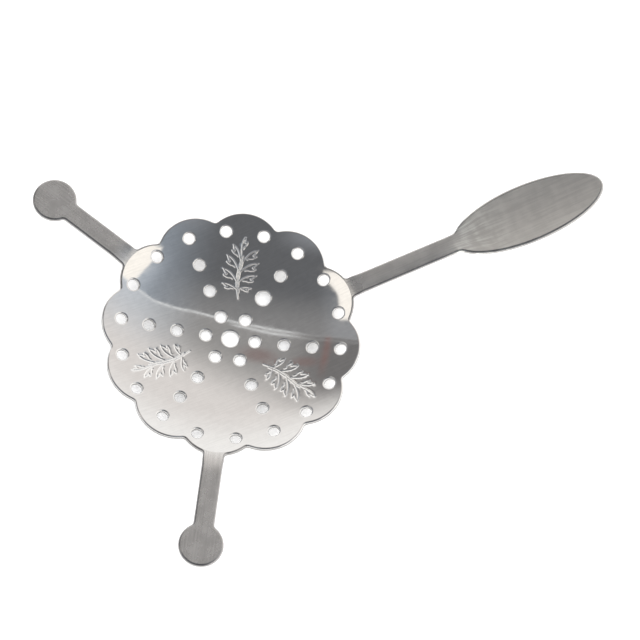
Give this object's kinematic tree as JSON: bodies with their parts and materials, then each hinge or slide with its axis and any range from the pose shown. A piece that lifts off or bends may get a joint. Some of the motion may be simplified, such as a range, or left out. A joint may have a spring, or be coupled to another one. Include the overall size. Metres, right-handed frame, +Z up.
{
  "type": "absinthe spoon",
  "caption": "Pierced, scalloped sugar dish with two short glass rests and a handle that ends in a small oval bowl, pressed from one steel sheet.",
  "frame": {"origin": "on the dish's axis, where the underside of the dish would touch the table; the middle drip hole takes that point away", "axes": "+Z up along the dish's axis, out of its hollow side; +X from the dish along the handle; the short arms point 120 degrees to either side of +X"},
  "size_m": [0.1369, 0.11, 0.0155],
  "materials": {
    "steel_sheet": "semi-polished dish, satin brushed arms, handle and bowl"
  },
  "bodies": {
    "root": {"absinthe_spoon": "steel_sheet"}
  },
  "joints": []
}
